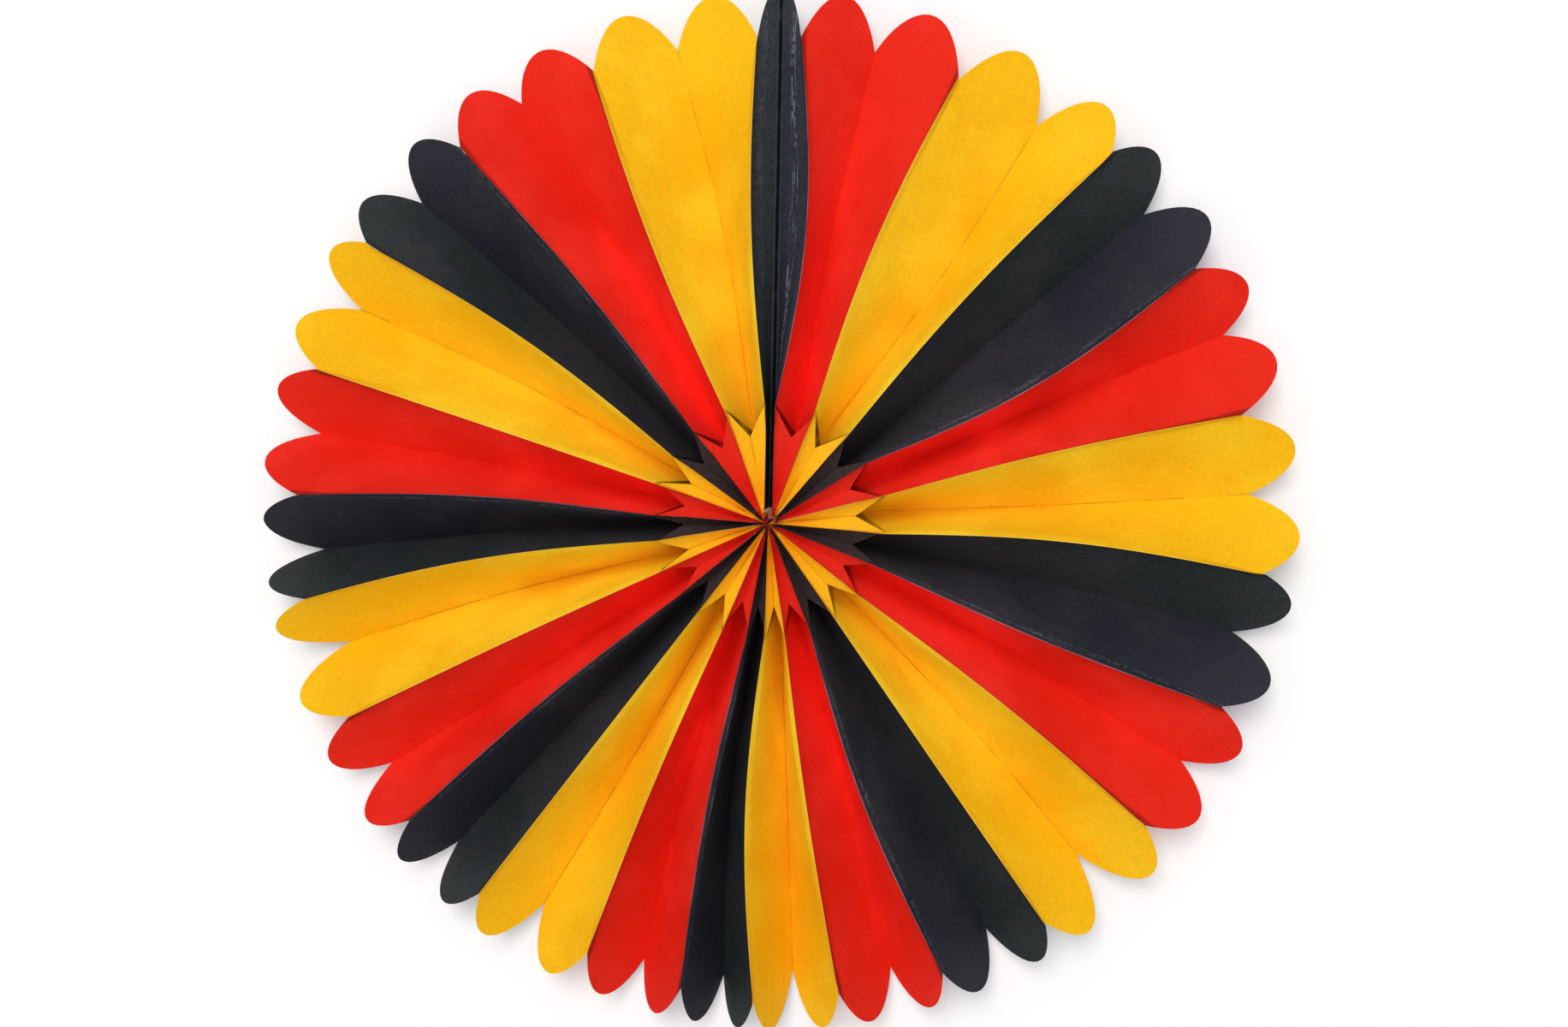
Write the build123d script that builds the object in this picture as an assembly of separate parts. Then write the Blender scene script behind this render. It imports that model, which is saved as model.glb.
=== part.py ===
from build123d import *
from math import asin, cos, degrees, pi, radians, sin, sqrt
import os

# A tissue-paper fan opened to a full circle. It hangs upright, front towards -Y, with its hub at the origin.
# The two end cards meet in the plane X = 0, above the hub. Azimuths run clockwise from +Z in the front view.

# Rosette
rosette_d = 500.0
hub_r = 4.0
petal_len = 23.5
petal_snips = 12

# Leaves: each is a strip of tissue folded once at the back and glued along its two front edges
leaf_w = 44.6
paper_t = 0.15
glue_lip_w = 4.0
glue_film = 0.1
bends_per_leaf = 7
widest_chord_share = 0.9

# V slit across each leaf: its inner end, the gusset, lies near the front, and the outer part reaches in behind it
slit_tip_r = 40.5
slit_arm_r = 54.0
slit_lap = 2.5
gusset_start_r = 14.0
gusset_w = 8.0
gusset_bends = 2

# End cards and what joins them
card_t = 1.5
card_w = leaf_w / 2
tape_t = 0.15
tape_w = 12.0
tape_len = 170.0
card_bare_len = 6.6

# Thread through the inner ends
thread_d = 0.7
thread_strands = 5
thread_ring_r = 5.5
thread_y = 3.0
thread_clearance = 0.15

# How far the circle opens at the seam, and how much of the circle each leaf takes, clockwise from the seam
seam_half_angle = 2.6
opening_shares = [
    1.94, 1.98, 1.64, 1.79, 1.88, 1.63, 1.66, 1.67, 1.35, 1.25, 1.04, 0.88,
    1.20, 1.51, 1.23, 1.46, 1.55, 1.27, 1.53, 1.62, 1.58, 1.82, 2.01,
]
# Sideways bow of each glued ridge at mid-length, as a share of the leaf width, clockwise from the seam
ridge_bow_shares = [
    0.20, -0.12, -0.08, 0.20, -0.06, -0.12, 0.06, -0.065, 0.0, 0.13, 0.04, 0.14,
    0.08, 0.04, 0.0, 0.07, 0.02, 0.12, 0.10, 0.01, 0.12, 0.08, -0.08, -0.10,
]
# Where each leaf's back fold lies between its two ridges: at the slit, at the rim, and its own bow
fold_slit_shares = [
    0.57, 0.46, 0.55, 0.52, 0.51, 0.60, 0.53, 0.52, 0.62, 0.60, 0.52, 0.64,
    0.60, 0.55, 0.60, 0.48, 0.35, 0.56, 0.42, 0.41, 0.40, 0.38, 0.44,
]
fold_rim_shares = [
    0.445, 0.545, 0.472, 0.474, 0.521, 0.481, 0.506, 0.544, 0.527, 0.511, 0.59, 0.495,
    0.467, 0.525, 0.508, 0.475, 0.559, 0.425, 0.474, 0.511, 0.453, 0.461, 0.50,
]
fold_bow_shares = [
    -0.10, 0.10, -0.03, -0.03, 0.03, -0.08, -0.04, -0.05, -0.065, -0.05, 0.0, 0.10,
    0.06, -0.03, 0.0, -0.03, 0.11, 0.0, 0.035, 0.10, 0.05, 0.065, 0.11,
]
# How deep the notch between two petals is cut, as a share of petal_len: at each ridge, and at each back fold
ridge_notch_shares = [
    1.0, 1.14, 0.70, 0.89, 1.07, 0.77, 0.90, 0.93, 0.80, 0.83, 0.93, 0.80,
    0.91, 0.99, 0.90, 0.98, 1.07, 0.95, 0.95, 0.92, 0.72, 0.89, 0.97, 1.0,
]
fold_notch_shares = [
    0.96, 1.08, 0.90, 0.77, 0.95, 0.93, 0.84, 1.23, 0.92, 0.82, 1.0, 0.79,
    0.79, 1.05, 0.91, 0.91, 1.22, 1.03, 0.90, 0.97, 0.81, 0.66, 0.91,
]
colours = ["red", "yellow", "black"]

rim_r = rosette_d / 2
notch_r = rim_r - petal_len
leaf_count = len(opening_shares)
cut_over = glue_lip_w
flat_limit = leaf_w * 1e-10
card_face_x = tape_t / 2 + card_t
petal_face_x = card_face_x + glue_film / 2
seam_ridge_x = petal_face_x + paper_t + glue_film / 2
ridge_angles = [
    seam_half_angle + (360 - 2 * seam_half_angle) * sum(opening_shares[:i]) / sum(opening_shares)
    for i in range(leaf_count + 1)
]


def bow(r):
    # A strip lies straight from the hub to the slit, then bows sideways and comes back at the notch.
    along = (r - slit_arm_r) / (notch_r - slit_arm_r)
    return leaf_w * sin(pi * min(max(along, 0), 1))


def ridge_azimuth(i, r):
    # Near the hub the end cards take up part of the circle, and the leaves crowd into what is left.
    def free(k):
        return ridge_angles[k] + degrees(ridge_bow_shares[k] * bow(r) / r)

    card_angle = degrees(asin(seam_ridge_x / r))
    first = max(free(0), card_angle)
    last = min(free(leaf_count), 360 - card_angle)
    return first + (free(i) - free(0)) * (last - first) / (free(leaf_count) - free(0))


def blend(a, b, t):
    return a + (b - a) * min(max(t, 0), 1)


def fold_azimuth(i, r):
    left = ridge_azimuth(i, r)
    right = ridge_azimuth(i + 1, r)
    if r < slit_tip_r:
        share = blend(0.5, fold_slit_shares[i], (r - hub_r) / (slit_tip_r - hub_r))
        return blend(left, right, share)
    share = blend(fold_slit_shares[i], fold_rim_shares[i], (r - slit_tip_r) / (notch_r - slit_tip_r))
    ridge_bow = blend(ridge_bow_shares[i], ridge_bow_shares[i + 1], share)
    return blend(left, right, share) + degrees((fold_bow_shares[i] - ridge_bow) * bow(r) / r)


def pleat_depth(opening, r):
    # A half leaf keeps its width, so the further it opens sideways, the less deep it is.
    chord = min(r * radians(opening) / 2, widest_chord_share * leaf_w)
    return sqrt(leaf_w**2 - chord**2)


def leaf_opening(i):
    return ridge_angles[i + 1] - ridge_angles[i]


def fold_y(i, r):
    return pleat_depth(leaf_opening(i), r) / 2


def ridge_y(i, r):
    beside = [leaf_opening(k) for k in (i - 1, i) if 0 <= k < leaf_count]
    return -pleat_depth(sum(beside) / len(beside), r) / 2


def at(r, azimuth):
    return Vector(r * sin(radians(azimuth)), 0, r * cos(radians(azimuth)))


def inset_path(path, thickness):
    # Offsets an open path of (sideways, y) points to its left by the paper's thickness, with mitred corners.
    normals = []
    for (s0, y0), (s1, y1) in zip(path, path[1:]):
        run = sqrt((s1 - s0) ** 2 + (y1 - y0) ** 2)
        normals.append(((y1 - y0) / run, -(s1 - s0) / run))
    inset = []
    for k, (s, y) in enumerate(path):
        before = normals[max(k - 1, 0)]
        after = normals[min(k, len(normals) - 1)]
        mitre = thickness / (1 + before[0] * after[0] + before[1] * after[1])
        inset.append((s + (before[0] + after[0]) * mitre, y + (before[1] + after[1]) * mitre))
    return inset


def section(left, fold, right, lip_ends, root_ends, fold_depth):
    # One cross-section of a leaf, as pairs of back and front points: lip, lip root, fold, lip root, lip.
    to_left = fold - left
    to_right = right - fold
    s_left = glue_film / 2 - to_left.length
    s_right = to_right.length - glue_film / 2
    back = [
        (s_left, lip_ends[0]),
        (s_left, root_ends[0]),
        (0, fold_depth),
        (s_right, root_ends[1]),
        (s_right, lip_ends[1]),
    ]

    def place(s, y):
        way = to_left.normalized() if s < 0 else to_right.normalized()
        return fold + way * s + Vector(0, y, 0)

    return [(place(*b), place(*f)) for b, f in zip(back, inset_path(back, paper_t))]


def leaf_section(i, r, fold_depth):
    left = at(r, ridge_azimuth(i, r))
    fold = at(r, fold_azimuth(i, r))
    right = at(r, ridge_azimuth(i + 1, r))
    lips = [ridge_y(i, r), ridge_y(i + 1, r)]
    roots = [y + glue_lip_w for y in lips]
    return section(left, fold, right, lips, roots, fold_depth)


def patch(corners):
    # A flat facet, or two triangles where the four corners twist out of one plane.
    if len(corners) == 4:
        a, b, c, d = corners
        normal = (b - a).cross(c - a).normalized()
        if abs(normal.dot(d - a)) > flat_limit:
            return [Face(Wire.make_polygon([a, b, c])), Face(Wire.make_polygon([a, c, d]))]
    return [Face(Wire.make_polygon(corners))]


def sheet(points, facets):
    # A solid of folded paper: each facet gives a back and a front face, and each open edge a cut edge.
    faces = []
    edges = {}
    for facet in facets:
        faces += patch([points[k][0] for k in facet])
        faces += patch([points[k][1] for k in facet])
        for pair in zip(facet, facet[1:] + facet[:1]):
            key = tuple(sorted(pair))
            edges[key] = edges.get(key, 0) + 1
    for (a, b), uses in edges.items():
        if uses == 1:
            faces += patch([points[a][0], points[b][0], points[b][1], points[a][1]])
    return Solid(Shell(faces))


def strip_facets(rows, columns):
    return [
        [(r0, c0), (r0, c1), (r1, c1), (r1, c0)]
        for r0, r1 in zip(rows, rows[1:])
        for c0, c1 in zip(columns, columns[1:])
    ]


def steps(start, end, count):
    return [start + (end - start) * k / count for k in range(count + 1)]


inner_rows = [hub_r] + steps(gusset_start_r, slit_tip_r, gusset_bends)
outer_rows = steps(slit_arm_r, notch_r, bends_per_leaf) + [rim_r + cut_over]


def ridge_notch(i):
    r = rim_r - petal_len * ridge_notch_shares[i]
    return at(r, ridge_azimuth(i, r))


def fold_notch(i):
    r = rim_r - petal_len * fold_notch_shares[i]
    return at(r, fold_azimuth(i, r))


def petal_outline(start, end, reach):
    # A petal's end is a parabola from notch to notch, cut as short snips.
    middle = (start + end) / 2
    stand_out = middle.normalized() * reach - middle
    half = (end - start) / 2
    return [middle + half * u + stand_out * (1 - u**2) for u in steps(-1, 1, petal_snips)]


def make_leaf(i):
    points = {}

    def add_row(r, fold_depth):
        for column, pair in enumerate(leaf_section(i, r, fold_depth)):
            points[(r, column)] = pair

    for r in [hub_r] + outer_rows:
        add_row(r, fold_y(i, r))
    for r in inner_rows[1:]:
        add_row(r, ridge_y(i, r) + gusset_w)
    tip_r = slit_tip_r - slit_lap
    points[(tip_r, 2)] = leaf_section(i, tip_r, fold_y(i, tip_r))[2]

    facets = strip_facets(inner_rows, range(5)) + strip_facets(outer_rows, range(5))
    facets += strip_facets([slit_tip_r, slit_arm_r], [0, 1]) + strip_facets([slit_tip_r, slit_arm_r], [3, 4])
    for root in (1, 3):
        arm_end = (slit_arm_r, root)
        facets.append([(slit_tip_r, root), (slit_tip_r, 2), arm_end])
        facets.append([arm_end, (tip_r, 2), (slit_arm_r, 2)])
    leaf = sheet(points, facets)

    return leaf - end_waste([ridge_notch(i), fold_notch(i), ridge_notch(i + 1)]) - thread_band()


def end_waste(notches):
    # What is cut away past the rounded petal ends, as seen from the front.
    outline = petal_outline(notches[0], notches[1], rim_r) + petal_outline(notches[1], notches[2], rim_r)[1:]
    way = (notches[2] - notches[0]).normalized() * leaf_w
    out = (notches[2] + notches[0]).normalized() * leaf_w
    around = [notches[2] + way, notches[2] + way + out, notches[0] - way + out, notches[0] - way]
    return extrude(Face(Wire.make_polygon(outline + around)), amount=leaf_w, dir=(0, 1, 0), both=True)


def thread_band():
    # The ring of holes that the thread runs through.
    hole_r = thread_d / 2 + thread_clearance
    band = Cylinder(thread_ring_r + hole_r, 2 * hole_r) - Cylinder(thread_ring_r - hole_r, 2 * hole_r)
    return Pos(0, thread_y, 0) * Rot(90, 0, 0) * band


def end_petal_section(side, r):
    # From the seam's ridge on one side to the card's front edge, then back along the card's outer face.
    ridge = 0 if side > 0 else leaf_count
    lip = at(r, ridge_azimuth(ridge, r))
    lip_x = glue_film / 2 - abs(lip.X)
    lip_y = ridge_y(ridge, r)
    back = [
        (lip_x, lip_y),
        (lip_x, lip_y + glue_lip_w),
        (-petal_face_x - paper_t, 0),
        (-petal_face_x - paper_t, card_w),
    ]
    front = inset_path(back, paper_t)
    return [
        (Vector(-side * b[0], b[1], lip.Z), Vector(-side * f[0], f[1], lip.Z))
        for b, f in zip(back, front)
    ]


def beyond(notch, tip, outwards):
    # The face to cut away past half a petal: level at the tip, coming in at the notch as the parabola does.
    drop = Vector(0, 0, notch.Z - tip.Z)
    half = notch - tip - drop
    outline = [tip + half * u + drop * u**2 for u in steps(0, 1, petal_snips // 2)]
    up = Vector(0, 0, cut_over)
    out = outwards * leaf_w
    return Face(Wire.make_polygon(outline + [notch + out, notch - drop + out + up, tip + up]))


def side_waste():
    face = beyond(Vector(0, card_w, notch_r), Vector(0, 0, rim_r), Vector(0, 1, 0))
    return extrude(face, amount=leaf_w, dir=(1, 0, 0), both=True)


def make_end_petal(side):
    rows = [card_bare_len] + inner_rows[1:] + outer_rows
    points = {}
    for r in rows:
        for column, pair in enumerate(end_petal_section(side, r)):
            points[(r, column)] = pair
    petal = sheet(points, strip_facets(rows, range(4)))
    notch = ridge_notch(0 if side > 0 else leaf_count)
    front_waste = extrude(
        beyond(notch, Vector(side * petal_face_x, 0, rim_r), Vector(side, 0, 0)),
        amount=leaf_w,
        dir=(0, -1, 0),
    )
    return petal - front_waste - side_waste()


def make_end_card(side):
    plate = Box(card_t, card_w, rim_r, align=(Align.MIN if side > 0 else Align.MAX, Align.MIN, Align.MIN))
    return Pos(side * tape_t / 2, 0, 0) * plate - side_waste() - thread_band()


def make_tape():
    start = (notch_r - tape_len) / 2
    strip = Box(tape_t, tape_w, tape_len, align=(Align.CENTER, Align.CENTER, Align.MIN))
    return Pos(0, card_w / 2, start) * strip


def make_thread():
    strand = Pos(thread_ring_r, thread_y) * RegularPolygon(thread_d / 2, thread_strands)
    return revolve(strand, Axis.Y)


def main():
    parts = {}
    for i in range(leaf_count):
        parts[f"{colours[i % 3]}_leaf_{i // 3 + 1}"] = make_leaf(i)
    for side, name in ((1, "right"), (-1, "left")):
        parts[f"black_end_petal_{name}"] = make_end_petal(side)
        parts[f"end_card_{name}"] = make_end_card(side)
    parts["seam_tape"] = make_tape()
    parts["hub_thread"] = make_thread()

    os.makedirs("parts", exist_ok=True)
    for name, shape in parts.items():
        shape.label = name
        export_step(shape, f"parts/{name}.step")


if __name__ == "__main__":
    main()
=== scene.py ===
import math

import bmesh
import bpy
import numpy as np
from mathutils import Matrix, Vector, noise


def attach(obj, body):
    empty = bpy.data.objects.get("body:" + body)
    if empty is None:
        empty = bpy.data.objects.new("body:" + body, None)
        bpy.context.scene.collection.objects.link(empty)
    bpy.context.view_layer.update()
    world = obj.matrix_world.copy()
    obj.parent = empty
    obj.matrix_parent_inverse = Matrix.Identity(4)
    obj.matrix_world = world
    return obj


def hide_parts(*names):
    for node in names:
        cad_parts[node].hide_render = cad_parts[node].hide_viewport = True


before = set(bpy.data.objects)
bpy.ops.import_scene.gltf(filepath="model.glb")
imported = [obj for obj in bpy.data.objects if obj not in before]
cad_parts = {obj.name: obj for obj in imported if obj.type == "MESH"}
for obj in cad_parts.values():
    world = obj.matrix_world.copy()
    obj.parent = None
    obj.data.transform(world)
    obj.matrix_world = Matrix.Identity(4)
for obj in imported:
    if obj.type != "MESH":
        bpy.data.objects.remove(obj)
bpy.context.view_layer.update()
scene = bpy.context.scene

# The shape, as in the source, in metres. The front is towards -Y, and azimuths run clockwise from +Z.
MM = 0.001
RIM_R = 250 * MM
HUB_R = 4 * MM
PETAL_LEN = 23.5 * MM
NOTCH_R = RIM_R - PETAL_LEN
LEAF_W = 44.6 * MM
LIP_W = 4.0 * MM
WIDEST_CHORD = 0.9 * LEAF_W
TIP_R = 40.5 * MM
ARM_R = 54.0 * MM
GUSSET_W = 8.0 * MM
CARD_W = LEAF_W / 2
TAPE_T = 0.15 * MM
# From the seam's plane out to the end petal's outer face, past tape and card, and to the ridge beside it
PETAL_FACE = TAPE_T / 2 + 1.55 * MM
SEAM_RIDGE = PETAL_FACE + 0.2 * MM
SEAM_HALF = 2.6
# Each leaf's share of the circle, the sideways bow of its ridges and folds, where its fold lies between its
# ridges at the slit and at the rim, and how deep the notches at its ridges and its fold are cut
OPENING = [
    1.94, 1.98, 1.64, 1.79, 1.88, 1.63, 1.66, 1.67, 1.35, 1.25, 1.04, 0.88,
    1.20, 1.51, 1.23, 1.46, 1.55, 1.27, 1.53, 1.62, 1.58, 1.82, 2.01,
]
RIDGE_BOW = [
    0.20, -0.12, -0.08, 0.20, -0.06, -0.12, 0.06, -0.065, 0.0, 0.13, 0.04, 0.14,
    0.08, 0.04, 0.0, 0.07, 0.02, 0.12, 0.10, 0.01, 0.12, 0.08, -0.08, -0.10,
]
FOLD_SLIT = [
    0.57, 0.46, 0.55, 0.52, 0.51, 0.60, 0.53, 0.52, 0.62, 0.60, 0.52, 0.64,
    0.60, 0.55, 0.60, 0.48, 0.35, 0.56, 0.42, 0.41, 0.40, 0.38, 0.44,
]
FOLD_RIM = [
    0.445, 0.545, 0.472, 0.474, 0.521, 0.481, 0.506, 0.544, 0.527, 0.511, 0.59, 0.495,
    0.467, 0.525, 0.508, 0.475, 0.559, 0.425, 0.474, 0.511, 0.453, 0.461, 0.50,
]
FOLD_BOW = [
    -0.10, 0.10, -0.03, -0.03, 0.03, -0.08, -0.04, -0.05, -0.065, -0.05, 0.0, 0.10,
    0.06, -0.03, 0.0, -0.03, 0.11, 0.0, 0.035, 0.10, 0.05, 0.065, 0.11,
]
RIDGE_NOTCH = [
    1.0, 1.14, 0.70, 0.89, 1.07, 0.77, 0.90, 0.93, 0.80, 0.83, 0.93, 0.80,
    0.91, 0.99, 0.90, 0.98, 1.07, 0.95, 0.95, 0.92, 0.72, 0.89, 0.97, 1.0,
]
FOLD_NOTCH = [
    0.96, 1.08, 0.90, 0.77, 0.95, 0.93, 0.84, 1.23, 0.92, 0.82, 1.0, 0.79,
    0.79, 1.05, 0.91, 0.91, 1.22, 1.03, 0.90, 0.97, 0.81, 0.66, 0.91,
]
COLOURS = ["red", "yellow", "black"]
LEAVES = len(OPENING)
RIDGES = [
    SEAM_HALF + (360 - 2 * SEAM_HALF) * sum(OPENING[:i]) / sum(OPENING)
    for i in range(LEAVES + 1)
]

# The inner ends: the few leaves beside the cards begin further out, so that the cards' bare ends show
START_R = 1.0 * MM
BESIDE_CARDS = 4
BESIDE_START_R = 2.7 * MM
CARD_BARE = 5.6 * MM
MAX_SEAM_SINE = 0.97
# The gusset leaves the held ends between these radii and has its full width from the third on
HELD_R = 3.4 * MM
GUSSET_START = 4.6 * MM
GUSSET_FULL = 14.0 * MM
SLIT_LAP = 9.0 * MM
# The glued ridges: half the gap between two lips, and how far they are pressed over from slit to notch
LIP_GAP = 0.09 * MM
LEAN = 2.2 * MM
LEAN_VARIES = 0.6 * MM
LEAN_WAVES = 22.0
LEAN_LIMIT = math.radians(3.5)
PRESSED_AT = [TIP_R, 1.6 * ARM_R, 0.72 * RIM_R, 0.86 * RIM_R, NOTCH_R]
PRESSED = [0.06, 1, 1, 0.6, 0.12]
# The soft waves of the faces, each with its height and its noise scale
PUFF, PUFF_SCALE = 0.7 * MM, 14.0
RIPPLE, RIPPLE_SCALE = 0.28 * MM, 45.0
CRINKLE, CRINKLE_SCALE = 0.10 * MM, 160.0
WAVES_EASE = 25 * MM
# Rows and columns of the meshes, finer than the source's facets, and what merges or sharpens them
N_HUB, N_IN, N_ARM, N_OUT, N_RIM = 9, 26, 12, 88, 22
N_FACE, N_LIP = 20, 4
N_SEAM_IN, N_SEAM_FACE, N_SEAM_BACK = 16, 16, 8
MERGE = 2e-6
DEGENERATE = 1e-7
SHARP = math.radians(22)


def bow(r):
    along = np.clip((r - ARM_R) / (NOTCH_R - ARM_R), 0, 1)
    return LEAF_W * np.sin(np.pi * along)


def ridge_azimuth(i, r):
    # The ridges are squeezed together near the hub, where the cards take up room.
    def free(k):
        return RIDGES[k] + np.degrees(RIDGE_BOW[k] * bow(r) / r)

    card = np.degrees(np.arcsin(np.minimum(SEAM_RIDGE / r, MAX_SEAM_SINE)))
    first = np.maximum(free(0), card)
    last = np.minimum(free(LEAVES), 360 - card)
    return first + (free(i) - free(0)) * (last - first) / (free(LEAVES) - free(0))


def fold_azimuth(i, r):
    left, right = ridge_azimuth(i, r), ridge_azimuth(i + 1, r)
    t_in = np.clip((r - HUB_R) / (TIP_R - HUB_R), 0, 1)
    t_out = np.clip((r - TIP_R) / (NOTCH_R - TIP_R), 0, 1)
    inner = 0.5 + (FOLD_SLIT[i] - 0.5) * t_in
    outer = FOLD_SLIT[i] + (FOLD_RIM[i] - FOLD_SLIT[i]) * t_out
    share = np.where(r < TIP_R, inner, outer)
    ridge_bow = RIDGE_BOW[i] + (RIDGE_BOW[i + 1] - RIDGE_BOW[i]) * outer
    bend = np.where(r < TIP_R, 0.0, np.degrees((FOLD_BOW[i] - ridge_bow) * bow(r) / r))
    return left + (right - left) * share + bend


def pleat_depth(opening, r):
    chord = np.minimum(r * math.radians(opening) / 2, WIDEST_CHORD)
    return np.sqrt(LEAF_W**2 - chord**2)


def opening(i):
    return RIDGES[i + 1] - RIDGES[i]


def fold_y(i, r):
    return pleat_depth(opening(i), r) / 2


def ridge_y(i, r):
    beside = [opening(k) for k in (i - 1, i) if 0 <= k < LEAVES]
    return -pleat_depth(sum(beside) / len(beside), r) / 2


def at(r, azimuth, y):
    a = np.radians(azimuth)
    depth = np.broadcast_to(y, np.shape(r)).astype(float)
    return np.stack([r * np.sin(a), depth, r * np.cos(a)], axis=-1)


def fold_at(i, r):
    return at(r, fold_azimuth(i, r), fold_y(i, r))


def wave(seed, t, scale):
    # A smooth value from -1 to 1 along t, the same on every run.
    values = [noise.noise(Vector((float(x) * scale, seed * 7.31, 2.7))) for x in np.ravel(t)]
    return np.array(values).reshape(np.shape(t))


def cloud(p, scale, seed):
    # The same for points in space.
    values = [noise.noise(Vector((x * scale + seed, y * scale, z * scale))) for x, y, z in p.reshape(-1, 3)]
    return np.array(values).reshape(p.shape[:-1])


def lean_side(k):
    # A glued ridge is pressed to one side, its root clockwise of its cut edge (1) or the other way (-1).
    return 1 if k < LEAVES and COLOURS[k % 3] == "yellow" else -1


def fin(k, r):
    # The cut edge and the root of ridge k at the radii r, and the normal of the side on which its lip shows.
    pressed = np.interp(r, PRESSED_AT, PRESSED)
    lean = (LEAN + LEAN_VARIES * wave(k + 50, r, LEAN_WAVES)) * pressed
    sideways = np.minimum(lean, LEAN_LIMIT * r)
    rise = np.sqrt(LIP_W**2 - sideways**2)
    zero = 0 * r
    azimuth = ridge_azimuth(k, r)
    a = np.radians(azimuth)
    across = lean_side(k) * np.stack([np.cos(a), zero, -np.sin(a)], axis=-1)
    edge = at(r, azimuth, ridge_y(k, r))
    root = edge + across * sideways[..., None] + np.stack([zero, rise, zero], axis=-1)
    normal = across * rise[..., None] - np.stack([zero, sideways, zero], axis=-1)
    return edge, root, normal / np.linalg.norm(normal, axis=-1, keepdims=True)


def lip_line(k, r, shows):
    # One leaf's half of the glued ridge: it lies on the side that shows, or on the hidden one.
    edge, root, normal = fin(k, r)
    gap = normal * ((LIP_GAP if shows else -LIP_GAP) * np.minimum(1, r / HUB_R))[..., None]
    return edge + gap, root + gap


def petal_end(a, b, u):
    # How far from the hub a petal's end lies between the notches a and b, u from -1 to 1.
    middle = (a + b) / 2
    stand_out = middle / np.linalg.norm(middle) * RIM_R - middle
    half = (b - a) / 2
    return np.linalg.norm(middle + half * u[:, None] + stand_out * (1 - u[:, None] ** 2), axis=1)


# Shares of the half leaf's width, from the cut edge to the fold, and of its face, from the lip's root
LIP = LIP_W / LEAF_W
even = np.linspace(0, 1, N_FACE)
WIDTHS = np.concatenate([
    np.linspace(0, LIP, N_LIP, endpoint=False),
    LIP + (1 - LIP) * (0.5 * even + 0.25 * (1 - np.cos(np.pi * even))),
])
FACES = np.clip((WIDTHS - LIP) / (1 - LIP), 0, 1)
RIM_STEPS = 1 - (1 - np.linspace(0, 1, N_RIM)[1:]) ** 1.6


def spread(edge, root, fold):
    # Rows of points from the cut edge over the root to the fold.
    lip = np.clip(WIDTHS / LIP, 0, 1)[:, None]
    face = FACES[:, None]
    return edge[:, None] + (root - edge)[:, None] * lip + (fold - root)[:, None] * face


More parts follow.
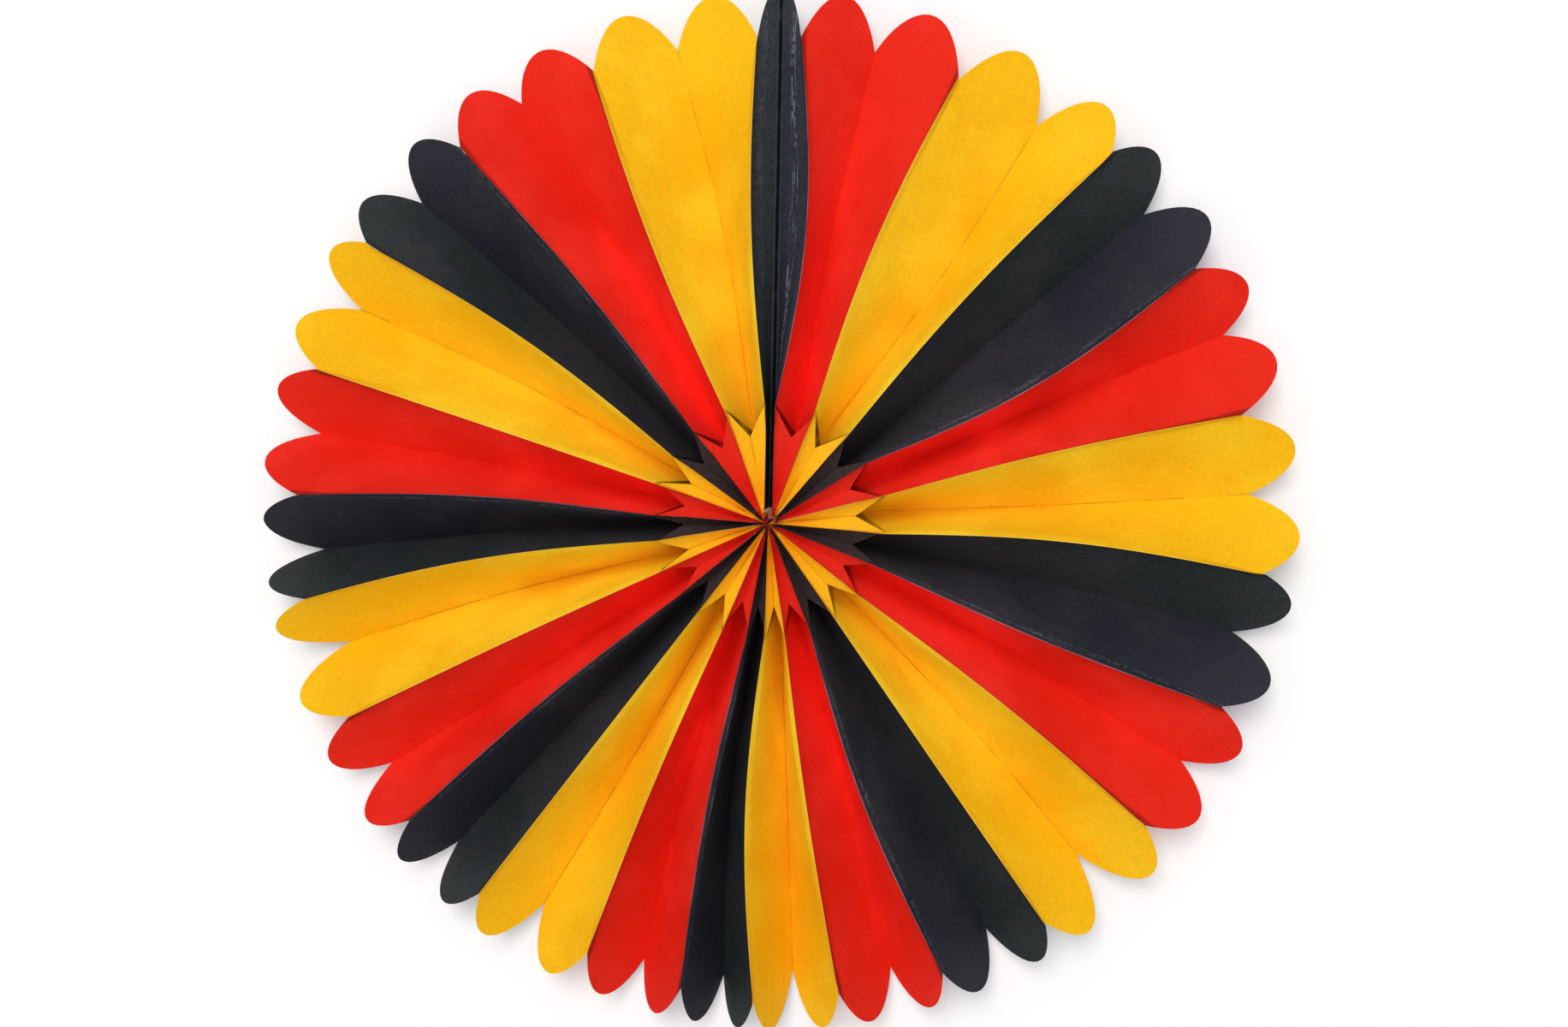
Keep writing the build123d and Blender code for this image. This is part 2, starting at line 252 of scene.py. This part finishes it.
def half_leaf(i, side):
    # Side 0 runs from the leaf's first ridge to its fold, side 1 from its second ridge to its fold.
    # Each sheet is its points, its map (distance from the cut edge, distance from the hub) and its scale: how
    # wide the face is there, as a share of the flat sheet.
    k = i + side
    shows = lean_side(k) == (1 if side == 0 else -1)
    across = WIDTHS * LEAF_W
    face = np.arange(len(WIDTHS))[WIDTHS >= LIP]
    flat_w = LEAF_W - LIP_W

    def sheet(p, r, columns=slice(None), scale=1.0):
        u = np.broadcast_to(across[columns], p.shape[:2])
        v = np.broadcast_to(r, p.shape[:2])
        return p, np.stack([u, v], axis=-1), np.broadcast_to(scale, p.shape[:2])

    # The inner part, from the hub to the slit
    start_r = START_R if BESIDE_CARDS <= i < LEAVES - BESIDE_CARDS else BESIDE_START_R
    r = np.concatenate([
        np.linspace(start_r, GUSSET_START, N_HUB),
        np.linspace(GUSSET_START, TIP_R, N_IN - N_HUB + 1)[1:],
    ])
    edge, root = lip_line(k, r, shows)
    held = np.clip((GUSSET_START - r) / (GUSSET_START - HELD_R), 0, 1)
    gusset_y = ridge_y(i, r) + GUSSET_W * np.minimum(1, r / GUSSET_FULL)
    fold = at(r, fold_azimuth(i, r), gusset_y + (fold_y(i, r) - gusset_y) * held)
    width = np.linalg.norm(fold - root, axis=1)[:, None] / flat_w
    inner = spread(edge, root, fold)
    sheets = [sheet(inner, r[:, None], scale=width)]

    # The gusset's arms, along the slit, with the lip running on in one line
    arm = np.array([ARM_R])
    arm_root = lip_line(k, arm, shows)[1]
    t = np.linspace(0, 1, N_ARM)[:, None]
    arm_end = spread(arm_root, arm_root, fold[-1:])[0]
    arms = inner[-1] + (arm_end - inner[-1]) * t[..., None]
    edge, root = lip_line(k, TIP_R + (ARM_R - TIP_R) * t[:, 0], shows)
    lip = np.arange(len(WIDTHS))[WIDTHS <= LIP]
    arms[:, lip] = spread(edge, root, root)[:, lip]
    slit_r = ARM_R + (TIP_R - ARM_R) * FACES
    sheets.append(sheet(arms, TIP_R + (slit_r - TIP_R) * t, scale=width[-1]))

    # The outer part's point, behind the gusset
    behind_r = TIP_R - SLIT_LAP
    begin = arm_root + (fold_at(i, np.array([behind_r])) - arm_root) * FACES[face][:, None]
    finish = arm_root + (fold_at(i, arm) - arm_root) * FACES[face][:, None]
    begin_r = ARM_R + (behind_r - ARM_R) * FACES[face]
    point = begin + (finish - begin) * t[..., None]
    sheets.append(sheet(point, begin_r + (ARM_R - begin_r) * t, columns=face))

    # The outer face, up to the petal's rounded end
    ridge_end = np.array([RIM_R - PETAL_LEN * RIDGE_NOTCH[k]])
    fold_end = np.array([RIM_R - PETAL_LEN * FOLD_NOTCH[i]])
    a = at(ridge_end, ridge_azimuth(k, ridge_end), 0)[0][[0, 2]]
    b = at(fold_end, fold_azimuth(i, fold_end), 0)[0][[0, 2]]
    end_r = petal_end(a, b, 2 * FACES - 1)
    base_r = min(ridge_end[0], fold_end[0])
    rows = np.linspace(ARM_R, base_r, N_OUT)[:, None] + 0 * end_r
    rows = np.concatenate([rows, base_r + (end_r - base_r) * RIM_STEPS[:, None]])
    outer = np.empty(rows.shape + (3,))
    for c in range(len(WIDTHS)):
        edge, root = lip_line(k, rows[:, c], shows)
        outer[:, c] = spread(edge, root, fold_at(i, rows[:, c]))[:, c]
    sheets.append(sheet(outer + soft_waves(outer, rows, i * 2 + side), rows))
    return sheets, shows


def soft_waves(p, r, seed):
    # The tissue's soft waves and crinkles, none at the fold and the ridge.
    toward = np.cross(p[:, -1] - p[:, 0], p[:, -1] * np.array([1, 0, 1]))
    toward /= np.linalg.norm(toward, axis=-1, keepdims=True)
    if toward[:, 1].mean() > 0:
        toward = -toward
    loose = np.sin(np.pi * FACES) ** 0.7
    ease = np.clip((r - ARM_R) / WAVES_EASE, 0, 1)
    puff = PUFF * cloud(p, PUFF_SCALE, seed * 3.1) + RIPPLE * cloud(p, RIPPLE_SCALE, seed * 5.7)
    crinkle = CRINKLE * cloud(p * np.array([1, 0.6, 1]), CRINKLE_SCALE, seed)
    return toward[:, None] * ((puff * ease + crinkle) * loose)[..., None]


def paper_mesh(name, sheets, marks, material):
    # One mesh of all the sheets. A sheet's marks are its cut edge, which sets its painted edge highlight and
    # lip shadow, its glue, its share of painted half light, and whether it is turned over.
    verts, faces, uvs, values = [], [], [], []
    start = 0
    for (p, uv, scale), (cut, glue, half_light, flip) in zip(sheets, marks):
        nr, nc = p.shape[:2]
        verts.append(p.reshape(-1, 3))
        uvs.append(uv.reshape(-1, 2))
        flat = [np.full(nr * nc, mark) for mark in (cut, glue, half_light)]
        values.append(np.stack(flat + [scale.ravel()], axis=1))
        for r in range(nr - 1):
            for c in range(nc - 1):
                a = start + r * nc + c
                quad = (a, a + 1, a + nc + 1, a + nc)
                faces.append(quad[::-1] if flip else quad)
        start += nr * nc
    mesh = bpy.data.meshes.new(name)
    mesh.from_pydata(np.concatenate(verts).tolist(), [], faces)
    uv_layer = mesh.uv_layers.new(name="UVMap")
    index = np.empty(len(mesh.loops), np.int32)
    mesh.loops.foreach_get("vertex_index", index)
    uv_layer.data.foreach_set("uv", np.concatenate(uvs)[index].astype(np.float32).ravel())
    layer = mesh.color_attributes.new("Marks", "FLOAT_COLOR", "POINT")
    layer.data.foreach_set("color", np.concatenate(values).astype(np.float32).ravel())
    piece = bpy.data.objects.new(name, mesh)
    scene.collection.objects.link(piece)
    bm = bmesh.new()
    bm.from_mesh(mesh)
    bmesh.ops.remove_doubles(bm, verts=bm.verts, dist=MERGE)
    bmesh.ops.dissolve_degenerate(bm, dist=DEGENERATE, edges=bm.edges)
    bm.to_mesh(mesh)
    bm.free()
    mesh.shade_smooth()
    mesh.set_sharp_from_angle(angle=SHARP)
    mesh.materials.append(material)
    mesh.update()
    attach(piece, "root")
    return piece


class Nodes:
    # A few short ways to add shader nodes.
    def __init__(self, name):
        self.material = bpy.data.materials.new(name)
        self.material.use_nodes = True
        self.tree = self.material.node_tree
        self.tree.nodes.clear()

    def put(self, socket, value):
        if isinstance(value, bpy.types.NodeSocket):
            self.tree.links.new(value, socket)
        else:
            socket.default_value = value

    def add(self, kind, inputs=None, **settings):
        node = self.tree.nodes.new(kind)
        for key, value in settings.items():
            setattr(node, key, value)
        for key, value in (inputs or {}).items():
            self.put(node.inputs[key], value)
        return node

    def math(self, operation, *values, clamp=False):
        node = self.add("ShaderNodeMath", dict(enumerate(values)), operation=operation, use_clamp=clamp)
        return node.outputs[0]

    def product(self, *values):
        total = values[0]
        for value in values[1:]:
            total = self.math("MULTIPLY", total, value)
        return total

    def ramp(self, value, low, high, out_low=0.0, out_high=1.0):
        inputs = {
            "Value": value, "From Min": low, "From Max": high, "To Min": out_low, "To Max": out_high,
        }
        return self.add("ShaderNodeMapRange", inputs, interpolation_type="SMOOTHSTEP").outputs["Result"]

    def noise(self, vector, scale, detail, roughness=0.5, distortion=0.0):
        inputs = {
            "Vector": vector, "Scale": scale, "Detail": detail,
            "Roughness": roughness, "Distortion": distortion,
        }
        return self.add("ShaderNodeTexNoise", inputs).outputs["Fac"]

    def bump(self, height, strength, distance):
        inputs = {"Height": height, "Strength": strength, "Distance": distance}
        return self.add("ShaderNodeBump", inputs).outputs["Normal"]

    def mix(self, share, a, b, blend="MIX"):
        node = self.add("ShaderNodeMix", data_type="RGBA", blend_type=blend)
        self.put(node.inputs["Factor"], share)
        colours = [socket for socket in node.inputs if socket.type == "RGBA"]
        self.put(colours[0], a)
        self.put(colours[1], b)
        return [socket for socket in node.outputs if socket.type == "RGBA"][0]


def linear(r, g, b):
    # The linear colour of an sRGB one.
    def one(v):
        v /= 255
        return v / 12.92 if v <= 0.04045 else ((v + 0.055) / 1.055) ** 2.4

    return (one(r), one(g), one(b), 1.0)


def darker(colour, share):
    return tuple(v * share for v in colour[:3]) + (1.0,)


def tissue(name, face, deep, inner, half_light, edge, glue, through, shine, speckle, crease_shade):
    # Tissue paper. Its colours are those of the outer face; the face near the slit, painted lighter there to
    # stand in for light that the deep pleats lack; the part inside the slit, a lit copy of the face with less
    # of that painted light; painted light and bounce on the half that looks the other way; the cut edge's
    # fuzz and painted highlight; and the dried glue. On the card tissue the deep colour is only a darker tone
    # for its patches and the seam's line. The other values are how much light comes through, how much it
    # shines, how strong its specks are and how dark its painted crease shade is.
    n = Nodes(name)
    place = n.add("ShaderNodeTexCoord").outputs["Object"]
    uv = n.add("ShaderNodeUVMap", uv_map="UVMap").outputs["UV"]
    split = n.add("ShaderNodeSeparateXYZ", {"Vector": uv})
    across, along = split.outputs["X"], split.outputs["Y"]
    marks = n.add("ShaderNodeVertexColor", layer_name="Marks")
    mark = n.add("ShaderNodeSeparateColor", {"Color": marks.outputs["Color"]})
    cut, glued, half_lit = mark.outputs["Red"], mark.outputs["Green"], mark.outputs["Blue"]
    scale = marks.outputs["Alpha"]

    fibre = n.noise(place, scale=1300.0, detail=4.0, roughness=0.65)
    speck = n.noise(place, scale=480.0, detail=3.0, roughness=0.6)
    patch = n.noise(place, scale=26.0, detail=2.0)
    broken = n.noise(place, scale=60.0, detail=2.0)
    crumple = n.noise(place, scale=70.0, detail=3.0, distortion=0.6)

    # The sheet's colour: painted lighter towards the slit, as light for the deep pleats, and varied in random
    # patches; a lit copy on the gusset; its fibres; painted light and bounce on the half that looks the other
    # way
    # Painted light: from the rim in towards the slit the colour goes over to the lighter deep colour
    outward = n.ramp(along, 50 * MM, 235 * MM)
    mottle_and_centre_light = n.math("ADD", outward, n.ramp(patch, 0.3, 0.7, -0.3, 0.3), clamp=True)
    # Painted light and bounce: each half takes its share of the colour of the half that looks the other way
    colour = n.mix(n.product(half_lit, mottle_and_centre_light), n.mix(mottle_and_centre_light, deep, face), half_light)
    # The gusset takes the inner colour, a lit copy of the face with less of the painted centre light
    colour = n.mix(n.ramp(scale, 0.9, 0.5), colour, inner)
    grain = n.math("ADD", n.ramp(fibre, 0.3, 0.7, -0.5, 0.5), n.ramp(speck, 0.3, 0.7, -0.35, 0.35))
    grain = n.math("ADD", 1.0, n.product(grain, speckle))
    grain = n.add("ShaderNodeCombineColor", {"Red": grain, "Green": grain, "Blue": grain}).outputs["Color"]
    colour = n.mix(1.0, colour, grain, "MULTIPLY")

    # Painted shade along stray creases and along the back fold
    bent = n.noise(place, scale=11.0, detail=1.5, distortion=0.8)
    stray_crease_shade = n.math("ABSOLUTE", n.math("SUBTRACT", bent, 0.5))
    stray_crease_shade = n.product(n.ramp(stray_crease_shade, 0.006, 0.0), n.ramp(broken, 0.45, 0.65), 0.2 * min(crease_shade, 1.0))
    from_fold = n.product(n.math("SUBTRACT", LEAF_W, across), scale)
    fold_shade = n.ramp(from_fold, 1.0 * MM, 0.1 * MM)
    fold = n.product(fold_shade, n.ramp(broken, 0.35, 0.6, 0.25 * crease_shade, crease_shade))
    colour = n.mix(n.math("MAXIMUM", stray_crease_shade, fold), colour, darker(deep, 0.4))

    # The shadow in the slit, stronger on one arm
    slope = (TIP_R - ARM_R) / (LEAF_W - LIP_W)
    slit_r = n.math("MULTIPLY_ADD", n.math("SUBTRACT", across, LIP_W), slope, ARM_R)
    past = n.math("SUBTRACT", along, slit_r)
    outer = n.product(n.math("GREATER_THAN", past, -1.1 * SLIT_LAP), n.math("GREATER_THAN", scale, 0.9))
    slit = n.product(n.ramp(past, 2.0 * MM, 0.4 * MM), outer)
    slit = n.product(slit, n.ramp(half_lit, 0.2, 0.5, 0.95, 0.6), n.ramp(broken, 0.3, 0.6, 0.6, 1.0))
    colour = n.mix(slit, colour, darker(deep, 0.12))

    # The shadow beside a lip that lies over this half
    covered = n.math("LESS_THAN", cut, 0.5)
    outside = n.ramp(along, 60 * MM, 100 * MM, 0.0, 0.6)
    beside = n.product(n.ramp(across, 7.4 * MM, 6.0 * MM), covered, outside)
    colour = n.mix(beside, colour, darker(deep, 0.15))

    # The cut edge of a lip that shows, a pale line of its fuzz and a painted highlight, and dried glue along
    # its root
    edge_fuzz_highlight = n.product(n.ramp(across, 0.85 * MM, 0.40 * MM), cut, n.ramp(broken, 0.3, 0.7, 0.5, 1.0))
    colour = n.mix(edge_fuzz_highlight, colour, edge)
    stretched = n.add("ShaderNodeCombineXYZ", {
        "X": n.product(across, 3600.0), "Y": n.product(along, 45.0), "Z": half_lit,
    })
    dashes = n.noise(stretched.outputs["Vector"], scale=1.0, detail=0.0)
    streaks = n.product(n.ramp(dashes, 0.55, 0.62), n.ramp(speck, 0.40, 0.54))
    band = n.product(n.ramp(across, 2.2 * MM, 3.4 * MM), n.ramp(across, 6.0 * MM, 4.6 * MM))
    colour = n.mix(n.product(band, streaks, glued), colour, glue)

    height = n.math("ADD", n.product(fibre, 0.5), n.math("ADD", speck, n.product(crumple, 2.5)))
    bump = n.bump(height, strength=0.35, distance=0.4 * MM)
    front = n.add("ShaderNodeBsdfPrincipled", {
        "Base Color": colour, "Roughness": 0.62, "Specular IOR Level": shine, "Normal": bump,
    })
    light_through = n.add("ShaderNodeBsdfTranslucent", {"Color": colour, "Normal": bump})
    both = n.add("ShaderNodeMixShader", {0: through, 1: front.outputs[0], 2: light_through.outputs[0]})
    n.add("ShaderNodeOutputMaterial", {"Surface": both.outputs[0]})
    return n.material


PAPER = {
    "red": tissue(
        "red_tissue", face=linear(227, 36, 21), deep=linear(255, 59, 46), inner=linear(228, 44, 30),
        half_light=linear(231, 42, 22), edge=linear(222, 120, 100), glue=linear(236, 92, 66),
        through=0.1, shine=0.1, speckle=0.12, crease_shade=0.06,
    ),
    "yellow": tissue(
        "yellow_tissue", face=linear(245, 184, 16), deep=linear(255, 217, 42), inner=linear(249, 189, 30),
        half_light=linear(248, 191, 18), edge=linear(255, 228, 96), glue=linear(252, 214, 90),
        through=0.1, shine=0.1, speckle=0.13, crease_shade=0.5,
    ),
    "black": tissue(
        "black_tissue", face=linear(35, 42, 42), deep=linear(57, 54, 59), inner=linear(54, 42, 41),
        half_light=linear(32, 26, 44), edge=linear(186, 118, 136), glue=linear(128, 132, 142),
        through=0.08, shine=0.25, speckle=0.55, crease_shade=0.3,
    ),
}
# How much a hidden lip's cut edge still shows of its fuzz and painted highlight (under a half, which also
# paints the shadow beside the lip over it), how much glue shows, and how much painted half light each half
# takes
HIDDEN_CUT = 0.25
GLUE = {"red": 0.25, "yellow": 0.25, "black": 0.45}
HALF_LIGHT = (0.1, 0.55)

for i in range(LEAVES):
    colour = COLOURS[i % 3]
    node = f"{colour}_leaf_{i // 3 + 1}"
    sheets, marks = [], []
    for side in (0, 1):
        half, shows = half_leaf(i, side)
        cut, glue = (1.0, GLUE[colour]) if shows else (HIDDEN_CUT, 0.0)
        sheets += half
        marks += [(cut, glue, HALF_LIGHT[side], side == 1)] * len(half)
    leaf = paper_mesh(node + "_tissue", sheets, marks, PAPER[colour])
    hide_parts(node)


# The same black tissue stretched flat over the end cards. Its painted fold shade is the dark line of the
# seam, the shade between the two end petals.
CARD_TISSUE = tissue(
    "black_tissue_on_card", face=linear(57, 62, 64), deep=linear(24, 26, 30), inner=linear(57, 62, 64),
    half_light=linear(54, 53, 65), edge=linear(190, 122, 140), glue=linear(140, 144, 156),
    through=0.05, shine=0.04, speckle=0.5, crease_shade=2.5,
)
# Its section round the card's front edge, from the petal's face to the seam and into it
ROUND_X = np.array([PETAL_FACE, 1.2 * MM, 0.75 * MM, 0.3 * MM, 0.12 * MM, 0.0, 0.0])
ROUND_Y = np.array([0.0, -0.14, -0.18, -0.15, -0.08, 0.10, 4.2]) * MM
# Its map is stretched in the middle of the front, where the glue shows.
MAP_FROM = np.array([0, 1, 8.5, 16.5, 22.3]) * MM
MAP_TO = np.array([0, 1, 2.2, 6.2, 18.0]) * MM
MAP_OFFSET = 1.0
CARD_WAVE, CARD_WAVE_SCALE = 0.35 * MM, 30.0
# Its cut-edge mark stays over a half, so that no painted shadow beside a lip is drawn on it. Its glue and
# its painted half light differ from side to side.
CARD_CUT = 0.6
CARD_GLUE = {1: 1.0, -1: 0.15}
CARD_HALF_LIGHT = {1: 0.6, -1: 0.1}


def end_petal(side, node):
    # The black half leaf glued over an end card: from the ridge to the card's front edge, round it and back.
    k = 0 if side > 0 else LEAVES
    shows = lean_side(k) == -side
    rows = np.concatenate([
        np.linspace(CARD_BARE, TIP_R, N_SEAM_IN)[:-1],
        np.linspace(TIP_R, ARM_R, N_ARM)[:-1],
        np.linspace(ARM_R, NOTCH_R, N_OUT),
    ])
    petal = RIM_R - NOTCH_R

    def grow(end):
        return np.concatenate([rows[:, None] + 0 * end, NOTCH_R + (end - NOTCH_R) * RIM_STEPS[:, None]])

    def sheet(p, across, z):
        # The map lies past the leaves' own, so that no painted slit shadow and no painted centre light fall
        # on it.
        uv = np.stack(np.broadcast_arrays(across, z + MAP_OFFSET), axis=-1)
        return p, uv, np.ones(p.shape[:2])

    edge_share = CARD_W / LEAF_W
    widths = np.concatenate([
        np.linspace(0, LIP, N_LIP, endpoint=False),
        np.linspace(LIP, edge_share, N_SEAM_FACE),
    ])
    share = np.clip((widths - LIP) / (edge_share - LIP), 0, 1)
    z = grow(NOTCH_R + petal * (1 - (1 - share) ** 2))
    turn_x = side * PETAL_FACE
    front = np.empty(z.shape + (3,))
    for c, w in enumerate(widths):
        edge, root = lip_line(k, z[:, c], shows)
        turn = np.stack([turn_x + 0 * z[:, c], 0 * z[:, c], z[:, c]], axis=-1)
        front[:, c] = edge + (root - edge) * min(w / LIP, 1) + (turn - root) * share[c]
    front[..., 0] += side * CARD_WAVE * cloud(front, CARD_WAVE_SCALE, 90 + side) * np.sin(np.pi * share)

    z_round = z[:, -1:] + 0 * ROUND_X
    round_edge = np.stack(np.broadcast_arrays(side * ROUND_X, ROUND_Y, z_round), axis=-1)

    back_share = np.linspace(0, 1, N_SEAM_BACK)
    z_back = grow(NOTCH_R + petal * (1 - back_share**2))
    back_x = side * (PETAL_FACE + 0.1 * MM)
    back = np.stack(np.broadcast_arrays(back_x, CARD_W * back_share, z_back), axis=-1)

    # The round edge's map lies at the back fold, so that the painted fold shade draws the seam's dark line
    sheets = [
        sheet(front, np.interp(widths * LEAF_W, MAP_FROM, MAP_TO), z),
        sheet(round_edge, LEAF_W - 0.8 * ROUND_X, z_round),
        sheet(back, CARD_W * (1 + back_share), z_back),
    ]
    strengths = [(1.0 if shows else CARD_CUT, CARD_GLUE[side]), (CARD_CUT, 0.0), (CARD_CUT, 0.0)]
    marks = [(cut, glue, CARD_HALF_LIGHT[side], side > 0) for cut, glue in strengths]
    piece = paper_mesh(node + "_tissue", sheets, marks, CARD_TISSUE)
    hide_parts(node)


end_petal(1, "black_end_petal_right")
end_petal(-1, "black_end_petal_left")


def fibrous(name, colour, rough, scale, contrast, relief):
    n = Nodes(name)
    place = n.add("ShaderNodeTexCoord").outputs["Object"]
    fibre = n.noise(place, scale, detail=4.0, roughness=0.65)
    mixed = n.mix(n.ramp(fibre, 0.3, 0.7), darker(colour, 1 - contrast), colour)
    bump = n.bump(fibre, strength=relief, distance=0.3 * MM)
    shader = n.add("ShaderNodeBsdfPrincipled", {
        "Base Color": mixed, "Roughness": rough, "Specular IOR Level": 0.3, "Normal": bump,
    })
    n.add("ShaderNodeOutputMaterial", {"Surface": shader.outputs[0]})
    return n.material


def dress(node, material):
    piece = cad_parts[node]
    piece.data.materials.clear()
    piece.data.materials.append(material)


greyboard = fibrous("greyboard", linear(226, 176, 164), rough=0.85, scale=700.0, contrast=0.22, relief=0.5)
paper_tape = fibrous("seam_tape", linear(222, 214, 190), rough=0.45, scale=300.0, contrast=0.08, relief=0.15)
cotton = fibrous("hub_thread", linear(205, 190, 172), rough=0.8, scale=1200.0, contrast=0.3, relief=0.6)
dress("end_card_left", greyboard)
dress("end_card_right", greyboard)
dress("seam_tape", paper_tape)
dress("hub_thread", cotton)

# The stage: a wall that only the camera sees, and only from its front, and a floor. The wall's colour and
# its glow add up to white in full light, and keep its shadow neutral beside the warm paper.
WALL_Y = 23.6 * MM
WALL_COLOUR = (0.96, 0.90, 0.86, 1.0)
WALL_GLOW = (0.0, 0.065, 0.11, 1.0)
FLOOR_Z = -0.62
FLOOR_COLOUR = (0.82, 0.82, 0.81, 1.0)
STAGE = 3.0


def stage_plane(name, corners, material):
    mesh = bpy.data.meshes.new(name)
    mesh.from_pydata(corners, [], [(0, 1, 2, 3)])
    mesh.materials.append(material)
    plane = bpy.data.objects.new(name, mesh)
    scene.collection.objects.link(plane)


def wall_material():
    n = Nodes("stage_wall")
    from_camera = n.add("ShaderNodeLightPath").outputs["Is Camera Ray"]
    behind = n.add("ShaderNodeNewGeometry").outputs["Backfacing"]
    seen = n.product(from_camera, n.math("SUBTRACT", 1.0, behind))
    shade = n.add("ShaderNodeBsdfDiffuse", {"Color": WALL_COLOUR})
    glow = n.add("ShaderNodeEmission", {"Color": WALL_GLOW, "Strength": 1.0})
    lit = n.add("ShaderNodeAddShader", {0: shade.outputs[0], 1: glow.outputs[0]})
    clear = n.add("ShaderNodeBsdfTransparent")
    both = n.add("ShaderNodeMixShader", {0: seen, 1: clear.outputs[0], 2: lit.outputs[0]})
    n.add("ShaderNodeOutputMaterial", {"Surface": both.outputs[0]})
    return n.material


wall = [(-STAGE, WALL_Y, FLOOR_Z), (STAGE, WALL_Y, FLOOR_Z), (STAGE, WALL_Y, STAGE), (-STAGE, WALL_Y, STAGE)]
floor = [(x, y, FLOOR_Z) for x, y in ((-STAGE, -STAGE), (STAGE, -STAGE), (STAGE, STAGE), (-STAGE, STAGE))]
matt = fibrous("stage_floor", FLOOR_COLOUR, rough=0.9, scale=20.0, contrast=0.02, relief=0.05)
stage_plane("stage_wall", wall, wall_material())
stage_plane("stage_floor", floor, matt)

# Light: an even studio dome, which the camera sees as white, a soft lamp from above the camera and a broad
# fill. Each lamp has its place, its size across and its power.
WORLD_LIGHT = 0.46
KEY = ((-0.45, -3.50, 1.60), 2.0, 77.0)
FILL = ((0.2, -3.80, -0.15), 2.4, 22.0)
DIFFUSE_BOUNCES = 12


def studio_world():
    world = bpy.data.worlds.new("studio")
    world.use_nodes = True
    tree = world.node_tree
    tree.nodes.clear()
    path = tree.nodes.new("ShaderNodeLightPath")
    seen = path.outputs["Is Camera Ray"]
    for ray in ("Is Glossy Ray", "Is Transmission Ray"):
        either = tree.nodes.new("ShaderNodeMath")
        either.operation = "MAXIMUM"
        tree.links.new(seen, either.inputs[0])
        tree.links.new(path.outputs[ray], either.inputs[1])
        seen = either.outputs[0]
    blend = tree.nodes.new("ShaderNodeMixShader")
    tree.links.new(seen, blend.inputs[0])
    for k, strength in ((1, WORLD_LIGHT), (2, 1.0)):
        background = tree.nodes.new("ShaderNodeBackground")
        background.inputs["Color"].default_value = (1, 1, 1, 1)
        background.inputs["Strength"].default_value = strength
        tree.links.new(background.outputs[0], blend.inputs[k])
    out = tree.nodes.new("ShaderNodeOutputWorld")
    tree.links.new(blend.outputs[0], out.inputs["Surface"])
    return world


def lamp(name, place, size, power):
    light = bpy.data.lights.new(name, "AREA")
    light.shape = "DISK"
    light.size = size
    light.energy = power
    obj = bpy.data.objects.new(name, light)
    scene.collection.objects.link(obj)
    obj.location = place
    obj.rotation_euler = (-Vector(place)).to_track_quat("-Z", "Y").to_euler()


scene.world = studio_world()
lamp("key", *KEY)
lamp("fill", *FILL)
scene.cycles.diffuse_bounces = DIFFUSE_BOUNCES

# The camera, a little above and to the right of the hub's axis. The hub falls on its pixel of the photo.
DISTANCE = 0.80
TILT = math.radians(5.35)
TOWARDS = math.radians(48.8)
ROLL = math.radians(-1.135)
PIXEL = 0.4103 * MM
FRAME_PX = (1832, 1200)
HUB_PX = (901.3, 606.2)
SENSOR = 36.0
CLIP_START = 0.01
eye = DISTANCE * Vector((
    math.sin(TILT) * math.sin(TOWARDS), -math.cos(TILT), math.sin(TILT) * math.cos(TOWARDS),
))


def camera_axes(aim):
    z = (eye - aim).normalized()
    x = Vector((math.sin(ROLL), 0, math.cos(ROLL))).cross(z).normalized()
    return x, z.cross(x), z


right, up, back = camera_axes(Vector((0, 0, 0)))
middle = right * (FRAME_PX[0] / 2 - HUB_PX[0]) * PIXEL + up * (HUB_PX[1] - FRAME_PX[1] / 2) * PIXEL
x, y, z = camera_axes(middle)
camera_data = bpy.data.cameras.new("camera")
camera_data.sensor_width = SENSOR
camera_data.lens = SENSOR * DISTANCE / PIXEL / FRAME_PX[0]
camera_data.clip_start = CLIP_START
camera = bpy.data.objects.new("camera", camera_data)
camera.matrix_world = Matrix((
    (x.x, y.x, z.x, eye.x), (x.y, y.y, z.y, eye.y), (x.z, y.z, z.z, eye.z), (0, 0, 0, 1),
))
scene.collection.objects.link(camera)
scene.camera = camera
scene.view_settings.view_transform = "Standard"
